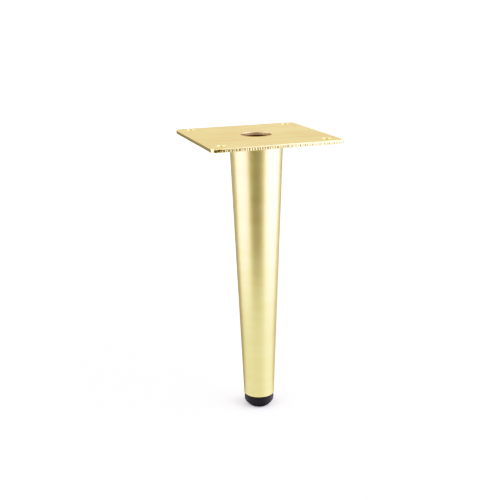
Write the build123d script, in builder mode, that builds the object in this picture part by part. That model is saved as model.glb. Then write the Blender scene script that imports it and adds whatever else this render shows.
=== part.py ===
"""Tapered metal furniture leg: punched top plate, tapered tube, weld and push-in glide.

Millimetres. Z = 0 is the floor under the foot and +Z is up. The tube stands on the Z axis and the
plate's sides run along X and Y.
"""
from build123d import *
from math import atan, cos
import os

# Leg as a whole
leg_height = 180.0

# Mounting plate, punched from steel sheet
plate_side = 80.0
plate_thickness = 2.5
plate_corner_radius = 3.0
plate_top_rounding = 0.6
plate_bottom_break = 0.2
centre_hole_diameter = 19.0
centre_hole_chamfer = 0.2
screw_spacing = 64.0
screw_hole_diameter = 5.5
screw_hole_chamfer = 0.2

# Tapered tube
tube_top_diameter = 33.0
tube_bottom_diameter = 20.0
tube_wall = 1.5
tube_end_chamfer = 0.35

# Fillet weld between the tube and the plate
weld_leg = 2.5

# Foot of the glide, below the tube
foot_diameter = 19.3
foot_drop = 8.5
foot_side_height = 5.1
foot_base_diameter = 13.0
foot_shoulder_rounding = 1.8
foot_base_rounding = 1.0
foot_top_chamfer = 0.3

# Stem of the glide, inside the tube
stem_diameter = 12.0
stem_length = 20.0
stem_wall = 1.6
stem_tip_chamfer = 0.6
core_floor = 3.0
cross_rib_width = 1.4
cross_rib_drop = 2.0

# Barbed fins round the stem: sloped on top to go in, flat below to hold
fin_count = 3
fin_pitch = 5.2
first_fin_height = 2.8
fin_root_thickness = 1.8
fin_tip_thickness = 0.6
fin_clearance = 0.1

# Heights and radii that follow from the sizes above
plate_underside = leg_height - plate_thickness
tube_bottom = foot_drop
tube_taper = (tube_top_diameter - tube_bottom_diameter) / 2 / (plate_underside - tube_bottom)
stem_tip = tube_bottom + stem_length
core_diameter = stem_diameter - 2 * stem_wall


def tube_radius(height):
    """Outer radius of the tube at a height above the floor."""
    return tube_bottom_diameter / 2 + (height - tube_bottom) * tube_taper


def bore_radius(height):
    """Inner radius of the tube at a height; the wall is measured square to the slope."""
    return tube_radius(height) - tube_wall / cos(atan(tube_taper))


def fin_corners(index):
    """Half-section of one fin: its root is sunk in the stem's wall, its tip follows the bore."""
    root_radius = core_diameter / 2 + stem_wall / 2
    underside = tube_bottom + first_fin_height + index * fin_pitch
    tip_top = underside + fin_tip_thickness
    return [
        (root_radius, underside),
        (bore_radius(underside) - fin_clearance, underside),
        (bore_radius(tip_top) - fin_clearance, tip_top),
        (root_radius, underside + fin_root_thickness),
    ]


os.makedirs("parts", exist_ok=True)

# Mounting plate: blanking rounds the outline's top edge, and the holes' top rims are deburred
with BuildPart() as mounting_plate:
    with BuildSketch(Plane.XY.offset(plate_underside)):
        RectangleRounded(plate_side, plate_side, plate_corner_radius)
        Circle(centre_hole_diameter / 2, mode=Mode.SUBTRACT)
        with GridLocations(screw_spacing, screw_spacing, 2, 2):
            Circle(screw_hole_diameter / 2, mode=Mode.SUBTRACT)
    extrude(amount=plate_thickness)
    top_face = mounting_plate.faces().sort_by(Axis.Z)[-1]
    bottom_face = mounting_plate.faces().sort_by(Axis.Z)[0]
    hole_rims = top_face.edges().filter_by(lambda edge: edge.is_closed).sort_by(SortBy.RADIUS)
    top_outline = top_face.outer_wire().edges()
    bottom_outline = bottom_face.outer_wire().edges()
    fillet(top_outline, plate_top_rounding)
    chamfer(bottom_outline, plate_bottom_break)
    chamfer(hole_rims[-1], centre_hole_chamfer)
    chamfer(hole_rims[:-1], screw_hole_chamfer)
mounting_plate.part.label = "mounting_plate"
export_step(mounting_plate.part, "parts/mounting_plate.step")

# Tapered tube: one wall of even thickness, open at both ends, its lower edge deburred
with BuildPart() as leg_tube:
    with BuildSketch(Plane.XZ):
        with BuildLine():
            Polyline(
                (bore_radius(tube_bottom), tube_bottom),
                (tube_radius(tube_bottom), tube_bottom),
                (tube_radius(plate_underside), plate_underside),
                (bore_radius(plate_underside), plate_underside),
                close=True,
            )
        tube_wall_section = make_face()
        lower_outer_corner = tube_wall_section.vertices().group_by(Axis.Y)[0].sort_by(Axis.X)[-1]
        chamfer(lower_outer_corner, tube_end_chamfer)
    revolve(axis=Axis.Z)
leg_tube.part.label = "leg_tube"
export_step(leg_tube.part, "parts/leg_tube.step")

# Fillet weld: it fills the corner between the tube's outside and the plate's underside
with BuildPart() as weld_bead:
    weld_root = (tube_radius(plate_underside), plate_underside)
    plate_toe = (tube_radius(plate_underside) + weld_leg, plate_underside)
    tube_toe = (tube_radius(plate_underside - weld_leg), plate_underside - weld_leg)
    with BuildSketch(Plane.XZ):
        with BuildLine():
            Polyline(tube_toe, weld_root, plate_toe, close=True)
        make_face()
    revolve(axis=Axis.Z)
weld_bead.part.label = "weld_bead"
export_step(weld_bead.part, "parts/weld_bead.step")

# Push-in glide: moulded foot, hollow stem with a cross rib inside, and fins that grip the bore
with BuildPart() as foot_glide:
    shoulder_height = foot_drop - foot_side_height
    with BuildSketch(Plane.XZ):
        with BuildLine():
            FilletPolyline(
                (0, 0),
                (foot_base_diameter / 2, 0),
                (foot_diameter / 2, shoulder_height),
                (foot_diameter / 2, tube_bottom - foot_top_chamfer),
                radius=[foot_base_rounding, foot_shoulder_rounding],
            )
            Polyline(
                (foot_diameter / 2, tube_bottom - foot_top_chamfer),
                (foot_diameter / 2 - foot_top_chamfer, tube_bottom),
                (0, tube_bottom),
                (0, 0),
            )
        make_face()
    revolve(axis=Axis.Z)
    with BuildSketch(Plane.XY.offset(tube_bottom)):
        Circle(stem_diameter / 2)
    extrude(amount=stem_length)
    chamfer(foot_glide.edges().group_by(Axis.Z)[-1], stem_tip_chamfer)
    for index in range(fin_count):
        with BuildSketch(Plane.XZ):
            with BuildLine():
                Polyline(*fin_corners(index), close=True)
            make_face()
        revolve(axis=Axis.Z)
    with BuildSketch(Plane.XY.offset(stem_tip)):
        Circle(core_diameter / 2)
    extrude(amount=core_floor - stem_tip, mode=Mode.SUBTRACT)
    with BuildSketch(Plane.XY.offset(core_floor)):
        Rectangle(core_diameter, cross_rib_width)
        Rectangle(cross_rib_width, core_diameter)
    extrude(amount=stem_tip - cross_rib_drop - core_floor)
foot_glide.part.label = "foot_glide"
export_step(foot_glide.part, "parts/foot_glide.step")
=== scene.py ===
import math

import bmesh
import bpy
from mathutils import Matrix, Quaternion, Vector


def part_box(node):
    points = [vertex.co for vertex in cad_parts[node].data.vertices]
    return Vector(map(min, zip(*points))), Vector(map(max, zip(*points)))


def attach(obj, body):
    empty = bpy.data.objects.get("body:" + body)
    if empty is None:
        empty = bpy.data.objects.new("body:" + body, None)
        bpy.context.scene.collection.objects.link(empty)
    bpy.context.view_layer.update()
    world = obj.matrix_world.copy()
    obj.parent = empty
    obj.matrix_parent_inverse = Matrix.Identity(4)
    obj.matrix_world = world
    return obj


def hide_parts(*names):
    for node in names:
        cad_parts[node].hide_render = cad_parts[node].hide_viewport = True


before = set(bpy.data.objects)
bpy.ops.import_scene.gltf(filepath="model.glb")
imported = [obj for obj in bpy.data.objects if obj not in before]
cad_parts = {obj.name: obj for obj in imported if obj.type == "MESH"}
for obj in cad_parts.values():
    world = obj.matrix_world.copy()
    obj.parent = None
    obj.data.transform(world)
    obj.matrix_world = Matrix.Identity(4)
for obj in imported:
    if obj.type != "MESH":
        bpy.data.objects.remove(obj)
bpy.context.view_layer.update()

# Camera: it looks down on the leg from a little left of the front, with a short telephoto lens.
# Its place, aim, roll and lens come from matching the plate's corners, the holes and the tube.
MM = 0.001
CAMERA_PLACE = Vector((-159.1, -440.4, 252.3)) * MM
CAMERA_AIM = Vector((-4.4, 1.6, 106.9)) * MM
CAMERA_ROLL = math.radians(-0.83)
CAMERA_LENS = 55.99
CAMERA_SENSOR = 36.0
CAMERA_NEAR = 10 * MM

camera = bpy.data.objects.new("camera", bpy.data.cameras.new("camera"))
camera.data.lens = CAMERA_LENS
camera.data.sensor_width = CAMERA_SENSOR
camera.data.clip_start = CAMERA_NEAR
camera.location = CAMERA_PLACE
camera.rotation_mode = "QUATERNION"
aim_turn = (CAMERA_AIM - CAMERA_PLACE).to_track_quat("-Z", "Y")
camera.rotation_quaternion = aim_turn @ Quaternion((0, 0, 1), CAMERA_ROLL)
bpy.context.scene.collection.objects.link(camera)
bpy.context.scene.camera = camera


# Studio: white paper swept up into a cove, a softbox on each side, and a darker room behind the
# That room and the dimmer painted glow of the sheet in front of the leg are the dark stripe down the
# tube.
def linear(hex_code):
    """Linear colour of an sRGB hex code."""
    channels = [int(hex_code[i : i + 2], 16) / 255 for i in (1, 3, 5)]
    curve = [c / 12.92 if c <= 0.04045 else ((c + 0.055) / 1.055) ** 2.4 for c in channels]
    return (*curve, 1.0)


def add(tree, kind, inputs=(), **settings):
    """Adds a node with its settings, and fills its inputs, in their order or by their names.

    An input is a number, a hex colour, a socket to link, or a node whose first output is linked.
    """
    node = tree.nodes.new(kind)
    for name, value in settings.items():
        setattr(node, name, value)
    in_use = [socket for socket in node.inputs if socket.enabled]
    for key, value in inputs.items() if isinstance(inputs, dict) else enumerate(inputs):
        socket = node.inputs[key] if isinstance(key, str) else in_use[key]
        if isinstance(value, bpy.types.Node):
            value = next(output for output in value.outputs if output.enabled)
        if isinstance(value, bpy.types.NodeSocket):
            tree.links.new(value, socket)
        else:
            socket.default_value = linear(value) if isinstance(value, str) else value
    return node


# The camera's response: highlights roll off and lose their colour
RESPONSE_KNEE = 0.553
RESPONSE_POWER = 1.35
RESPONSE_WHITE = 1.2
RESPONSE_WHITE_POWER = 6
RESPONSE_END = 2.0
RESPONSE_STEPS = 16
RESPONSE_STEP_POWER = 1.5

view = bpy.context.scene.view_settings
view.view_transform = "Standard"
view.use_curve_mapping = True
response = view.curve_mapping
response.white_level = [RESPONSE_END] * 3
for step in range(1, RESPONSE_STEPS):
    light = RESPONSE_END * (step / RESPONSE_STEPS) ** RESPONSE_STEP_POWER
    roll_off = (light / RESPONSE_KNEE) ** RESPONSE_POWER
    clipping = (light / RESPONSE_WHITE) ** RESPONSE_WHITE_POWER
    level = 1 - math.exp(-roll_off - clipping)
    response.curves[3].points.new(light / RESPONSE_END, level)
response.update()

# The room: bright above the horizon, dimmer overhead and below, and dimmest on the camera's side.
# A pair says where a change starts and ends, by the direction's height or its lean to the camera.
CAMERA_SIDE = 250
HORIZON = (-0.06, 0.06)
OVERHEAD = (0.45, 0.85)
TO_CAMERA = (-0.7, 0.1)
BACKDROP = 0.95
CEILING = 0.6
ROOM_FRONT = 0.15
ROOM_REAR = 0.34
BACKDROP_LIGHT = "#FFFBF4"
ROOM_FRONT_LIGHT = "#F6FFBE"
ROOM_REAR_LIGHT = "#EEF8F0"

world = bpy.data.worlds.new("photo_studio")
bpy.context.scene.world = world
world.use_nodes = True
tree = world.node_tree
tree.nodes.clear()
direction = add(tree, "ShaderNodeTexCoord").outputs["Generated"]
camera_way = (math.cos(math.radians(CAMERA_SIDE)), math.sin(math.radians(CAMERA_SIDE)), 0)
lean = add(tree, "ShaderNodeVectorMath", [direction, camera_way], operation="DOT_PRODUCT")
height = add(tree, "ShaderNodeSeparateXYZ", [direction]).outputs["Z"]
above = add(tree, "ShaderNodeMapRange", [height, *HORIZON], interpolation_type="SMOOTHSTEP")
front = add(tree, "ShaderNodeMapRange", [lean, *TO_CAMERA], interpolation_type="SMOOTHSTEP")
colour = add(tree, "ShaderNodeMix", [front, ROOM_REAR_LIGHT, ROOM_FRONT_LIGHT], data_type="RGBA")
colour = add(tree, "ShaderNodeMix", [above, colour, BACKDROP_LIGHT], data_type="RGBA")
level = add(tree, "ShaderNodeMix", [front, ROOM_REAR, ROOM_FRONT])
sky = add(
    tree,
    "ShaderNodeMapRange",
    [height, *OVERHEAD, BACKDROP, CEILING],
    interpolation_type="SMOOTHSTEP",
)
level = add(tree, "ShaderNodeMix", [above, level, sky])
background = add(tree, "ShaderNodeBackground", [colour, level])
add(tree, "ShaderNodeOutputWorld", [background])

# The paper, white where the camera sees it, with a painted shade round the foot
COVE_RINGS = (300 * MM, 900 * MM)
COVE_RADIUS = 2200 * MM
COVE_BEND = 600 * MM
COVE_BEND_STEPS = 9
COVE_HEIGHT = 2600 * MM
PAPER_DROP = 0.1 * MM
PAPER_WHITE = "#F3F9F7"
GLOW_RINGS = (100 * MM, 900 * MM)
GLOW_LEVELS = (0.19, 0.8)
PAINTED_SHADE_RINGS = (9 * MM, 26 * MM)


def turned_surface(name, profile, steps=96):
    """Turns (radius, height) points round Z; the first radius may be 0, a pole."""
    mesh = bmesh.new()
    rows = []
    for radius, z in profile:
        if radius == 0:
            rows.append([mesh.verts.new((0, 0, z))] * steps)
            continue
        angles = [2 * math.pi * k / steps for k in range(steps)]
        rows.append([mesh.verts.new((radius * math.cos(a), radius * math.sin(a), z)) for a in angles])
    for low, high in zip(rows, rows[1:]):
        for k in range(steps):
            corners = [low[k], high[k], high[(k + 1) % steps], low[(k + 1) % steps]]
            mesh.faces.new(list(dict.fromkeys(corners)))
    data = bpy.data.meshes.new(name)
    mesh.to_mesh(data)
    mesh.free()
    data.shade_smooth()
    surface = bpy.data.objects.new(name, data)
    bpy.context.scene.collection.objects.link(surface)
    return surface


def new_finish(name):
    """New material, its empty tree, and the sockets that say where on the piece a point is."""
    material = bpy.data.materials.new(name)
    material.use_nodes = True
    tree = material.node_tree
    tree.nodes.clear()
    return material, tree, add(tree, "ShaderNodeTexCoord").outputs


cove_profile = [(0, 0), *((ring, 0) for ring in COVE_RINGS)]
for step in range(COVE_BEND_STEPS + 1):
    turn = math.radians(90) * step / COVE_BEND_STEPS
    inset = COVE_BEND * (1 - math.sin(turn))
    cove_profile.append((COVE_RADIUS - inset, COVE_BEND * (1 - math.cos(turn))))
cove_profile.append((COVE_RADIUS, COVE_HEIGHT))
cove = turned_surface("paper_cove", [(radius, z - PAPER_DROP) for radius, z in cove_profile])
cove.visible_glossy = False
cove.visible_shadow = False
cove.visible_diffuse = False

# The paper glows, a painted light that grows away from the leg; round the foot the glow is taken
# away, which paints a soft shade there
paper, tree, place = new_finish("white_paper_painted_glow")
away = add(tree, "ShaderNodeVectorMath", [place["Object"]], operation="LENGTH")
beyond = add(
    tree, "ShaderNodeMapRange", [away, *GLOW_RINGS, *GLOW_LEVELS], interpolation_type="SMOOTHSTEP"
)
# Painted shade: no glow near the foot
clear_of_painted_shade = add(
    tree, "ShaderNodeMapRange", [away, *PAINTED_SHADE_RINGS], interpolation_type="SMOOTHSTEP"
)
painted_glow_level = add(tree, "ShaderNodeMath", [beyond, clear_of_painted_shade], operation="MULTIPLY")
matt = add(tree, "ShaderNodeBsdfDiffuse", [PAPER_WHITE])
glow = add(tree, "ShaderNodeEmission", {"Strength": painted_glow_level})
lit = add(tree, "ShaderNodeAddShader", [matt, glow])
clear = add(tree, "ShaderNodeBsdfTransparent")
outer_side = add(tree, "ShaderNodeNewGeometry").outputs["Backfacing"]
seen = add(tree, "ShaderNodeMixShader", [outer_side, lit, clear])
add(tree, "ShaderNodeOutputMaterial", [seen])
cove.data.materials.append(paper)

# A glowing sheet that only the metal sees, a painted reflection of the paper: dark and even under the
# foot, a painted shade, dimmer towards the camera, and brighter towards each softbox. X of its
# pattern points to the camera's left, Y to the camera.
SHEET_RADIUS = 440 * MM
SHEET_DROP = 0.05 * MM
SHEET_LIGHT = "#FCFFF6"
LAMP_LIGHT = "#F5E4FF"
LAMP_LEVELS = (0.9, 2.0)
PAINTED_SHADE_UNDER_FOOT = 0.08

sheet = turned_surface("lit_sheet", [(0, -SHEET_DROP), (SHEET_RADIUS, -SHEET_DROP)])
sheet.visible_camera = False
sheet.visible_diffuse = False
sheet.visible_shadow = False
sheet_glow, tree, place = new_finish("unevenly_lit_paper")
quarter = (0, 0, math.radians(90 - CAMERA_SIDE))
turned = add(tree, "ShaderNodeMapping", {"Vector": place["Object"], "Rotation": quarter})
away = add(tree, "ShaderNodeVectorMath", [turned], operation="LENGTH")
heading = add(tree, "ShaderNodeVectorMath", [turned], operation="NORMALIZE")
heading = add(tree, "ShaderNodeSeparateXYZ", [heading]).outputs
across = add(tree, "ShaderNodeMath", [heading["X"]], operation="ABSOLUTE")
# Each fade: what it follows, where it starts and ends, and its levels there, which are else 0 and 1
fades = {
    "front": [away, 150 * MM, 340 * MM, 0.8, 0.0],
    "left": [away, 130 * MM, 350 * MM, 0.84, 2.0],
    "right": [away, 110 * MM, 400 * MM, 1.15, 2.8],
    "rear": [heading["X"], -0.3, 0.3, 0.4, 0.26],
    "to left": [heading["X"], -0.1, 0.1],
    "to side": [across, 0.34, 0.92],
    "to front": [heading["Y"], -0.5, 0.0],
    "clear of painted shade": [away, 6 * MM, 16 * MM],
}
fades = {
    name: add(tree, "ShaderNodeMapRange", inputs, interpolation_type="SMOOTHSTEP")
    for name, inputs in fades.items()
}
sides = add(tree, "ShaderNodeMix", [fades["to left"], fades["right"], fades["left"]])
ahead = add(tree, "ShaderNodeMix", [fades["to side"], fades["front"], sides])
level = add(tree, "ShaderNodeMix", [fades["to front"], fades["rear"], ahead])
# Painted shade: the glow drops to a low level under the foot
level = add(tree, "ShaderNodeMix", [fades["clear of painted shade"], PAINTED_SHADE_UNDER_FOOT, level])
lamp_share = add(tree, "ShaderNodeMapRange", [level, *LAMP_LEVELS], interpolation_type="SMOOTHSTEP")
colour = add(tree, "ShaderNodeMix", [lamp_share, SHEET_LIGHT, LAMP_LIGHT], data_type="RGBA")
glow = add(tree, "ShaderNodeEmission", [colour, level])
add(tree, "ShaderNodeOutputMaterial", [glow])
sheet.data.materials.append(sheet_glow)

# The softboxes, which the tube and the plate's edges reflect as their bright stripes
SOFTBOX_DISTANCE = 620 * MM
SOFTBOX_BOTTOM = -350 * MM
SOFTBOX_TOP = 1300 * MM


def softbox(name, first, last, radiance):
    """Upright light that spans two compass angles, seen from the leg, at the given radiance."""
    middle = math.radians((first + last) / 2)
    light = bpy.data.lights.new(name, "AREA")
    light.shape = "RECTANGLE"
    light.size = 2 * SOFTBOX_DISTANCE * math.tan(math.radians(last - first) / 2)
    light.size_y = SOFTBOX_TOP - SOFTBOX_BOTTOM
    light.color = linear(LAMP_LIGHT)[:3]
    light.energy = radiance * math.pi * light.size * light.size_y
    lamp = bpy.data.objects.new(name, light)
    outwards = Vector((math.cos(middle), math.sin(middle), 0))
    lamp.location = outwards * SOFTBOX_DISTANCE
    lamp.location.z = (SOFTBOX_BOTTOM + SOFTBOX_TOP) / 2
    lamp.rotation_mode = "QUATERNION"
    lamp.rotation_quaternion = (-outwards).to_track_quat("-Z", "Y")
    lamp.visible_camera = False
    bpy.context.scene.collection.objects.link(lamp)


softbox("left_softbox", first=CAMERA_SIDE - 101, last=CAMERA_SIDE - 39.5, radiance=2.1)
softbox("right_softbox", first=CAMERA_SIDE + 43, last=CAMERA_SIDE + 114, radiance=3.2)

# Mounting plate: blanked and punched from 2.5 mm mild steel sheet, brushed along its length and
# brass plated, which gives it a satin shine with faint, straight strokes. It is welded to the tube,
# and four wood screws through its corners hold it to the furniture.
BRASS = "#F4E3A2"
BRASS_SHADE = "#EAD090"
BRASS_GRAZING = "#FDEDD8"
PLATE_ROUGHNESS = (0.3, 0.4)
STROKE_GRAIN = (45 * MM, 2.2 * MM, 2.2 * MM)
# Single scratches are finer than this, which is as fine as shows
LINE_GRAIN = (20 * MM, 0.25 * MM, 0.25 * MM)
LINE_DEPTH = 0.004 * MM
CLOUD_GRAIN = 30 * MM
CLOUD_RANGE = (0.12, 0.42)
RIM_ROUNDING = 0.5 * MM
# Most values of a noise texture lie between these
NOISE_RANGE = (0.3, 0.7)

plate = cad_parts["mounting_plate"]
plate_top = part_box("mounting_plate")[1][2]
plate_depth = plate_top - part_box("mounting_plate")[0][2]
plate_metal, tree, place = new_finish("brass_plated_brushed_sheet")
spot = place["Object"]
stroke_grid = add(tree, "ShaderNodeVectorMath", [spot, STROKE_GRAIN], operation="DIVIDE")
strokes = add(
    tree, "ShaderNodeTexNoise", {"Vector": stroke_grid, "Scale": 1.0, "Detail": 3.0, "Roughness": 0.6}
)
line_grid = add(tree, "ShaderNodeVectorMath", [spot, LINE_GRAIN], operation="DIVIDE")
lines = add(tree, "ShaderNodeTexNoise", {"Vector": line_grid, "Scale": 1.0, "Detail": 2.0})
clouds = add(tree, "ShaderNodeTexNoise", {"Vector": spot, "Scale": 1 / CLOUD_GRAIN, "Detail": 1.0})
shade = add(tree, "ShaderNodeMath", [strokes, clouds], operation="MULTIPLY")
shade = add(tree, "ShaderNodeMapRange", [shade, *CLOUD_RANGE], interpolation_type="SMOOTHSTEP")
colour = add(tree, "ShaderNodeMix", [shade, BRASS, BRASS_SHADE], data_type="RGBA")
rough = add(tree, "ShaderNodeMapRange", [strokes, *NOISE_RANGE, *PLATE_ROUGHNESS])
rolled_rim = add(tree, "ShaderNodeBevel", {"Radius": RIM_ROUNDING}, samples=6)
bumps = add(tree, "ShaderNodeBump", {"Height": lines, "Distance": LINE_DEPTH, "Normal": rolled_rim})

# The punched holes: the punch rolls the rim over and leaves a smooth land below it. The plating
# covers the land thinly, paler and pinker than the sheet in the wide hole, and the torn part of
# the wall under it is dark.
HOLE_BRASS = "#DECAA2"
HOLE_TORN = "#94784A"
# Painted highlight: the screw holes' sloped rims take a paler, brighter brass than the sheet
SCREW_RIM_HIGHLIGHT_BRASS = "#FCF3B6"
SCREW_HOLE_ROUGHNESS = 0.3
CENTRE_HOLE_ROUGHNESS = 0.42
HOLE_LAND = 1.95 * MM
LAND_FADE = 0.2 * MM
SCREW_PLACE = (32 * MM, 32 * MM, plate_top)
SCREW_REACH = 4.5 * MM
CENTRE_REACH = 12.5 * MM
# How far a face is turned up or down, from the slope of a rim to the flat of the sheet
SLOPE_TO_FLAT = (0.85, 0.95)

turned_up = add(tree, "ShaderNodeSeparateXYZ", [place["Normal"]]).outputs["Z"]
turned_up = add(tree, "ShaderNodeMath", [turned_up], operation="ABSOLUTE")
depth = add(tree, "ShaderNodeSeparateXYZ", [spot]).outputs["Z"]
depth = add(tree, "ShaderNodeMath", [plate_top, depth], operation="SUBTRACT")
one_quarter = add(tree, "ShaderNodeVectorMath", [spot], operation="ABSOLUTE")
from_screw = add(tree, "ShaderNodeVectorMath", [one_quarter, SCREW_PLACE], operation="DISTANCE")
from_centre = add(tree, "ShaderNodeVectorMath", [spot, (0, 0, plate_top)], operation="DISTANCE")
by_screw = add(tree, "ShaderNodeMath", [from_screw, SCREW_REACH], operation="LESS_THAN")
by_centre = add(tree, "ShaderNodeMath", [from_centre, CENTRE_REACH], operation="LESS_THAN")
by_hole = add(tree, "ShaderNodeMath", [by_screw, by_centre], operation="MAXIMUM")
sloped = add(tree, "ShaderNodeMapRange", [turned_up, *SLOPE_TO_FLAT, 1.0, 0.0])
in_hole = add(tree, "ShaderNodeMath", [by_hole, sloped], operation="MULTIPLY")
in_centre = add(tree, "ShaderNodeMath", [by_centre, sloped], operation="MULTIPLY")
below_land = add(tree, "ShaderNodeMapRange", [depth, HOLE_LAND, HOLE_LAND + LAND_FADE])
torn_hole = add(tree, "ShaderNodeMath", [in_hole, below_land], operation="MULTIPLY")
hole_colour = add(tree, "ShaderNodeMix", [in_centre, SCREW_RIM_HIGHLIGHT_BRASS, HOLE_BRASS], data_type="RGBA")
colour = add(tree, "ShaderNodeMix", [in_hole, colour, hole_colour], data_type="RGBA")
colour = add(tree, "ShaderNodeMix", [torn_hole, colour, HOLE_TORN], data_type="RGBA")
rough = add(tree, "ShaderNodeMix", [in_hole, rough, SCREW_HOLE_ROUGHNESS])
rough = add(tree, "ShaderNodeMix", [in_centre, rough, CENTRE_HOLE_ROUGHNESS])

# The sheared edge: a smooth band of uneven depth at the top, torn marks that stand upright below
# it, and a pale burr line at the bottom. In a few patches the tears are deep, dark and start higher.
EDGE_BRASS = "#EDDA9E"
TORN_BRASS = "#A79E74"
DEEP_TORN_BRASS = "#655A22"
EDGE_ROUGHNESS = 0.22
TORN_ROUGHNESS = 0.28
SMOOTH_BAND = 0.6 * MM
BAND_FADE = 0.2 * MM
BAND_WANDER = 0.9 * MM
WANDER_GRAIN = (1.1 * MM, 1.1 * MM, 20 * MM)
WANDER_RANGE = (0.25, 0.75)
TEAR_PITCH = 1.5 * MM
TEAR_DEPTH = 0.07 * MM
BURR = 0.5 * MM
# How far a face is turned up or down, from the side of the edge to its roundings
SIDE_TO_ROUNDING = (0.3, 0.6)
# The patches' noise, what it takes from or adds to the tears, and where their sum is a mark
PATCH_GRAIN = 16 * MM
PATCH_SEED = 204.15
PATCH_RANGE = (0.35, 0.65)
PATCH_SHARE = (-0.45, 0.25)
MARK_RANGE = (0.3, 0.6)
DEEP_RANGE = (0.63, 0.66)
DEEP_RISE = 0.4 * MM
# The turn of a wave texture, in its own units
WAVE_TURN = math.pi / 10

upright = add(tree, "ShaderNodeMapRange", [turned_up, *SIDE_TO_ROUNDING, 1.0, 0.0])
not_hole = add(tree, "ShaderNodeMath", [1.0, in_hole], operation="SUBTRACT")
upright = add(tree, "ShaderNodeMath", [upright, not_hole], operation="MULTIPLY")
patches = add(
    tree,
    "ShaderNodeTexNoise",
    {"Vector": spot, "W": PATCH_SEED, "Scale": 1 / PATCH_GRAIN, "Detail": 1.0},
    noise_dimensions="4D",
)
deep = add(tree, "ShaderNodeMapRange", [patches, *DEEP_RANGE])
tear_depth = add(tree, "ShaderNodeMath", [deep, DEEP_RISE, depth], operation="MULTIPLY_ADD")
wander_grid = add(tree, "ShaderNodeVectorMath", [spot, WANDER_GRAIN], operation="DIVIDE")
wander = add(tree, "ShaderNodeTexNoise", {"Vector": wander_grid, "Scale": 1.0, "Detail": 1.0})
wander = add(tree, "ShaderNodeMapRange", [wander, *WANDER_RANGE, 0.0, BAND_WANDER])
below_band = add(tree, "ShaderNodeMath", [tear_depth, wander], operation="SUBTRACT")
torn_zone = add(tree, "ShaderNodeMapRange", [below_band, SMOOTH_BAND - BAND_FADE, SMOOTH_BAND])
torn_zone = add(tree, "ShaderNodeMath", [torn_zone, upright], operation="MULTIPLY")
burr_line = (plate_depth - BURR, plate_depth - BURR / 2)
above_burr = add(tree, "ShaderNodeMapRange", [tear_depth, *burr_line, 1.0, 0.0])
torn_zone = add(tree, "ShaderNodeMath", [torn_zone, above_burr], operation="MULTIPLY")
along = add(tree, "ShaderNodeVectorMath", [spot, (1, 1, 0)], operation="DOT_PRODUCT")
tears = add(
    tree,
    "ShaderNodeTexWave",
    {
        "Vector": along,
        "Scale": WAVE_TURN / TEAR_PITCH,
        "Distortion": 6.0,
        "Detail": 3.0,
        "Detail Scale": 1.5,
    },
    wave_type="BANDS",
    bands_direction="X",
)
torn_colour = add(tree, "ShaderNodeMix", [deep, TORN_BRASS, DEEP_TORN_BRASS], data_type="RGBA")
patches = add(tree, "ShaderNodeMapRange", [patches, *PATCH_RANGE, *PATCH_SHARE])
marks = add(tree, "ShaderNodeMath", [tears, patches], operation="ADD")
marks = add(tree, "ShaderNodeMapRange", [marks, *MARK_RANGE])
marks = add(tree, "ShaderNodeMath", [marks, deep], operation="MAXIMUM")
torn = add(tree, "ShaderNodeMath", [torn_zone, marks], operation="MULTIPLY")
colour = add(tree, "ShaderNodeMix", [upright, colour, EDGE_BRASS], data_type="RGBA")
colour = add(tree, "ShaderNodeMix", [torn, colour, torn_colour], data_type="RGBA")
rough = add(tree, "ShaderNodeMix", [upright, rough, EDGE_ROUGHNESS])
rough = add(tree, "ShaderNodeMix", [torn, rough, TORN_ROUGHNESS])
torn_height = add(tree, "ShaderNodeMix", [torn_zone, 0.5, tears])
bumps = add(tree, "ShaderNodeBump", {"Height": torn_height, "Distance": TEAR_DEPTH, "Normal": bumps})
shader = add(
    tree,
    "ShaderNodeBsdfPrincipled",
    {
        "Base Color": colour,
        "Metallic": 1.0,
        "Roughness": rough,
        "Normal": bumps,
        "Specular Tint": BRASS_GRAZING,
        "Anisotropic": 0.3,
    },
)
add(tree, "ShaderNodeOutputMaterial", [shader])
plate.data.materials.clear()
plate.data.materials.append(plate_metal)

# Leg tube: steel tube drawn to a taper, sanded round and round to a satin finish, brass plated and
# covered with a thin clear lacquer, which pales its edges. Its bore was never sanded, and the
# plating hardly reaches it, so it stays dull and brown.
TUBE_BRASS = "#F3E4A3"
TUBE_BRASS_SHADE = "#F0DE9B"
TUBE_GRAZING = "#FCEEE0"
TUBE_ROUGHNESS = (0.32, 0.38)
BORE_BRASS = "#B3955C"
BORE_ROUGHNESS = 0.6
# Sanding rings are finer than this, which is as fine as shows
RING_GRAIN = (9 * MM, 9 * MM, 0.35 * MM)
RING_DEPTH = 0.004 * MM
BAND_GRAIN = (40 * MM, 40 * MM, 6 * MM)
BAND_RANGE = (0.35, 0.65)
# How far a face is turned out, from the bore's wall to the tube's ends
BORE_TO_END = (-0.6, -0.3)

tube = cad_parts["leg_tube"]
tube_metal, tree, place = new_finish("brass_plated_satin_tube")
spot = place["Object"]
sideways = add(tree, "ShaderNodeVectorMath", [spot, (1, 1, 0)], operation="MULTIPLY")
sideways = add(tree, "ShaderNodeVectorMath", [sideways], operation="NORMALIZE")
outwards = add(
    tree, "ShaderNodeVectorMath", [sideways, place["Normal"]], operation="DOT_PRODUCT"
)
bore = add(tree, "ShaderNodeMapRange", [outwards, *BORE_TO_END, 1.0, 0.0])
ring_grid = add(tree, "ShaderNodeVectorMath", [spot, RING_GRAIN], operation="DIVIDE")
rings = add(tree, "ShaderNodeTexNoise", {"Vector": ring_grid, "Scale": 1.0, "Detail": 2.0})
band_grid = add(tree, "ShaderNodeVectorMath", [spot, BAND_GRAIN], operation="DIVIDE")
bands = add(tree, "ShaderNodeTexNoise", {"Vector": band_grid, "Scale": 1.0, "Detail": 2.0})
bands = add(tree, "ShaderNodeMapRange", [bands, *BAND_RANGE])
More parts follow.
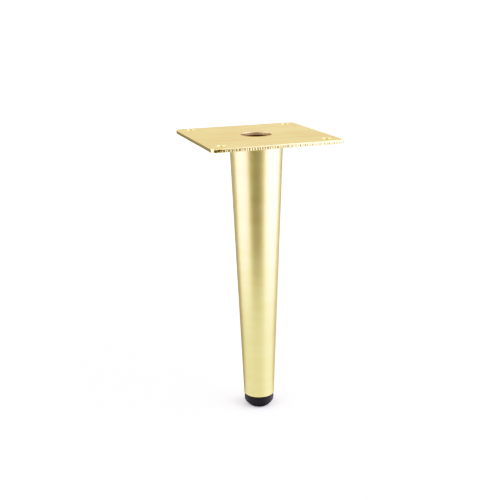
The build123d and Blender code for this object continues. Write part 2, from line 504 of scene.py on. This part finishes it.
colour = add(tree, "ShaderNodeMix", [bands, TUBE_BRASS, TUBE_BRASS_SHADE], data_type="RGBA")
colour = add(tree, "ShaderNodeMix", [bore, colour, BORE_BRASS], data_type="RGBA")
rough = add(tree, "ShaderNodeMapRange", [rings, *NOISE_RANGE, *TUBE_ROUGHNESS])
rough = add(tree, "ShaderNodeMix", [bore, rough, BORE_ROUGHNESS])
bumps = add(tree, "ShaderNodeBump", {"Height": rings, "Distance": RING_DEPTH})
round_tube = add(tree, "ShaderNodeTangent", direction_type="RADIAL", axis="Z")
shader = add(
    tree,
    "ShaderNodeBsdfPrincipled",
    {
        "Base Color": colour,
        "Metallic": 1.0,
        "Roughness": rough,
        "Normal": bumps,
        "Specular Tint": TUBE_GRAZING,
        "Anisotropic": 0.25,
        "Tangent": round_tube,
        "Coat Weight": 0.5,
        "Coat Roughness": 0.2,
    },
)
add(tree, "ShaderNodeOutputMaterial", [shader])
tube.data.materials.clear()
tube.data.materials.append(tube_metal)

# Weld bead: one run of MIG weld that joins the tube to the plate, with a ripple every 1.6 mm
# where the arc moved on. It was plated with the rest, unsanded, so it is rougher and browner.
WELD_BRASS = "#B89A5A"
WELD_ROUGHNESS = (0.34, 0.55)
BEAD_LEG = 2.5 * MM
BEAD_CROWN = 0.14
BEAD_WANDER = 0.25 * MM
RIPPLE_PITCH = 1.6 * MM
RIPPLE_HEIGHT = 0.22 * MM
SLICES_PER_RIPPLE = 10
SECTION_POINTS = 9
SPATTER_GRAIN = 0.8 * MM
SPATTER_HEIGHT = 0.05 * MM
SOOT_GRAIN = 5 * MM
SOOT_RANGE = (0.4, 0.65)

bead_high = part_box("weld_bead")[1]
bead_root = bead_high[0] - BEAD_LEG
bead_metal, tree, place = new_finish("brass_plated_weld")
spot = place["Object"]
spatter = add(tree, "ShaderNodeTexNoise", {"Vector": spot, "Scale": 1 / SPATTER_GRAIN, "Detail": 3.0})
soot = add(tree, "ShaderNodeTexNoise", {"Vector": spot, "Scale": 1 / SOOT_GRAIN, "Detail": 2.0})
sooty = add(tree, "ShaderNodeMapRange", [soot, *SOOT_RANGE])
colour = add(tree, "ShaderNodeMix", [sooty, BRASS_SHADE, WELD_BRASS], data_type="RGBA")
rough = add(tree, "ShaderNodeMapRange", [soot, *NOISE_RANGE, *WELD_ROUGHNESS])
bumps = add(tree, "ShaderNodeBump", {"Height": spatter, "Distance": SPATTER_HEIGHT})
shader = add(
    tree,
    "ShaderNodeBsdfPrincipled",
    {
        "Base Color": colour,
        "Metallic": 1.0,
        "Roughness": rough,
        "Normal": bumps,
        "Specular Tint": BRASS_GRAZING,
    },
)
add(tree, "ShaderNodeOutputMaterial", [shader])

# The bead's tree: a flat-faced section swept round the tube, its face stepped at each ripple
tree = bpy.data.node_groups.new("rippled_bead", "GeometryNodeTree")
tree.is_modifier = True
tree.interface.new_socket("Geometry", in_out="OUTPUT", socket_type="NodeSocketGeometry")
sizes = {
    "Radius": ("NodeSocketFloat", bead_root),
    "Height": ("NodeSocketFloat", bead_high[2]),
    "Leg": ("NodeSocketFloat", BEAD_LEG),
    "Crown": ("NodeSocketFloat", BEAD_CROWN),
    "Ripple Height": ("NodeSocketFloat", RIPPLE_HEIGHT),
    "Wander": ("NodeSocketFloat", BEAD_WANDER),
    "Wander Length": ("NodeSocketFloat", SOOT_GRAIN),
    "Ripples": ("NodeSocketInt", round(2 * math.pi * bead_root / RIPPLE_PITCH)),
    "Finish": ("NodeSocketMaterial", bead_metal),
}
names = {
    name: tree.interface.new_socket(name, in_out="INPUT", socket_type=kind).identifier
    for name, (kind, value) in sizes.items()
}
given = tree.nodes.new("NodeGroupInput").outputs

slices = add(tree, "ShaderNodeMath", [given["Ripples"], SLICES_PER_RIPPLE], operation="MULTIPLY")
ring = add(
    tree, "GeometryNodeCurvePrimitiveCircle", {"Resolution": slices, "Radius": given["Radius"]}
)
ring = add(tree, "GeometryNodeCaptureAttribute", [ring])
ring.capture_items.new("FLOAT", "Along")
along = add(tree, "GeometryNodeSplineParameter").outputs["Factor"]
tree.links.new(along, ring.inputs["Along"])

section = add(
    tree,
    "GeometryNodeCurveArc",
    {
        "Resolution": SECTION_POINTS,
        "Radius": given["Leg"],
        "Start Angle": 0.0,
        "Sweep Angle": math.pi / 2,
        "Connect Center": True,
    },
)
where = add(tree, "GeometryNodeInputPosition")
arc_place = add(tree, "ShaderNodeSeparateXYZ", [where]).outputs
turn = add(tree, "ShaderNodeMath", [arc_place["Y"], arc_place["X"]], operation="ARCTAN2")
double_turn = add(tree, "ShaderNodeMath", [turn, 2], operation="MULTIPLY")
bulge = add(tree, "ShaderNodeMath", [double_turn], operation="SINE")
swell = add(tree, "ShaderNodeMath", [bulge, given["Crown"], 1], operation="MULTIPLY_ADD")
cosine = add(tree, "ShaderNodeMath", [turn], operation="COSINE")
sine = add(tree, "ShaderNodeMath", [turn], operation="SINE")
chord = add(tree, "ShaderNodeMath", [cosine, sine], operation="ADD")
shrink = add(tree, "ShaderNodeMath", [swell, chord], operation="DIVIDE")
flatter = add(tree, "ShaderNodeVectorMath", [where, shrink], operation="SCALE")
section = add(tree, "GeometryNodeSetPosition", {"Geometry": section, "Position": flatter})
section = add(tree, "GeometryNodeCaptureAttribute", [section])
section.capture_items.new("FLOAT", "Bulge")
tree.links.new(bulge.outputs[0], section.inputs["Bulge"])
swept = add(tree, "GeometryNodeCurveToMesh", {"Curve": ring, "Profile Curve": section})

along, bulge = ring.outputs["Along"], section.outputs["Bulge"]
phase = add(tree, "ShaderNodeMath", [along, given["Ripples"]], operation="MULTIPLY")
phase = add(tree, "ShaderNodeMath", [bulge, 0.5, phase], operation="MULTIPLY_ADD")
step = add(tree, "ShaderNodeMath", [phase], operation="FRACT")
step = add(tree, "ShaderNodeMath", [step, 0.5], operation="SUBTRACT")
ripple = add(tree, "ShaderNodeMath", [step, given["Ripple Height"]], operation="MULTIPLY")
coarseness = add(tree, "ShaderNodeMath", [1, given["Wander Length"]], operation="DIVIDE")
wander = add(tree, "ShaderNodeTexNoise", {"Vector": where, "Scale": coarseness, "Detail": 1.0})
wander = add(tree, "ShaderNodeMath", [wander, 0.5], operation="SUBTRACT")
rise = add(tree, "ShaderNodeMath", [wander, given["Wander"], ripple], operation="MULTIPLY_ADD")
rise = add(tree, "ShaderNodeMath", [rise, bulge], operation="MULTIPLY")
outside = add(tree, "GeometryNodeInputNormal")
push = add(tree, "ShaderNodeVectorMath", [outside, rise], operation="SCALE")
rippled = add(tree, "GeometryNodeSetPosition", {"Geometry": swept, "Offset": push})
lift = add(tree, "ShaderNodeCombineXYZ", {"Z": given["Height"]})
placed = add(tree, "GeometryNodeTransform", {"Geometry": rippled, "Translation": lift})
smooth = add(tree, "GeometryNodeSetShadeSmooth", [placed])
whole = add(tree, "GeometryNodeRealizeInstances", [smooth])
finished = add(tree, "GeometryNodeSetMaterial", {"Geometry": whole, "Material": given["Finish"]})
add(tree, "NodeGroupOutput", {"Geometry": finished})

holder = bpy.data.objects.new("weld_holder", bpy.data.meshes.new("weld_holder"))
bpy.context.scene.collection.objects.link(holder)
maker = holder.modifiers.new("ripples", "NODES")
maker.node_group = tree
for name, (kind, value) in sizes.items():
    maker[names[name]] = value
ready = holder.evaluated_get(bpy.context.evaluated_depsgraph_get())
bead_mesh = bpy.data.meshes.new_from_object(ready)
bpy.data.objects.remove(holder)
bead_mesh.name = "weld_ripples"
weld_ripples = bpy.data.objects.new("weld_ripples", bead_mesh)
bpy.context.scene.collection.objects.link(weld_ripples)
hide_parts("weld_bead")
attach(weld_ripples, "root")

# Glide: moulded in black polypropylene and pushed into the tube, where its barbed fins hold it.
# The mould's fine spark-eroded grain makes it satin, and the rim of its base is rubbed grey.
FOOT_BLACK = "#0A0709"
FOOT_RUBBED = "#1E1B1F"
FOOT_SHEEN = "#EFE4FF"
FOOT_ROUGHNESS = (0.25, 0.34)
POLYPROPYLENE_IOR = 1.49
MOULD_GRAIN = 0.35 * MM
MOULD_DEPTH = 0.01 * MM
MOTTLE_GRAIN = 4 * MM
RUBBED_HEIGHTS = (0.2 * MM, 1.4 * MM)
RUBBED_MOST = 0.8

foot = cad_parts["foot_glide"]
foot_plastic, tree, place = new_finish("black_moulded_polypropylene")
spot = place["Object"]
grain = add(tree, "ShaderNodeTexNoise", {"Vector": spot, "Scale": 1 / MOULD_GRAIN, "Detail": 2.0})
mottle = add(tree, "ShaderNodeTexNoise", {"Vector": spot, "Scale": 1 / MOTTLE_GRAIN, "Detail": 2.0})
height = add(tree, "ShaderNodeSeparateXYZ", [spot]).outputs["Z"]
low = add(tree, "ShaderNodeMapRange", [height, *RUBBED_HEIGHTS, RUBBED_MOST, 0.0])
worn = add(tree, "ShaderNodeMath", [low, mottle], operation="MULTIPLY")
colour = add(tree, "ShaderNodeMix", [worn, FOOT_BLACK, FOOT_RUBBED], data_type="RGBA")
rough = add(tree, "ShaderNodeMapRange", [mottle, *NOISE_RANGE, *FOOT_ROUGHNESS])
bumps = add(tree, "ShaderNodeBump", {"Height": grain, "Distance": MOULD_DEPTH})
shader = add(
    tree,
    "ShaderNodeBsdfPrincipled",
    {
        "Base Color": colour,
        "Roughness": rough,
        "IOR": POLYPROPYLENE_IOR,
        "Normal": bumps,
        "Specular Tint": FOOT_SHEEN,
    },
)
add(tree, "ShaderNodeOutputMaterial", [shader])
foot.data.materials.clear()
foot.data.materials.append(foot_plastic)
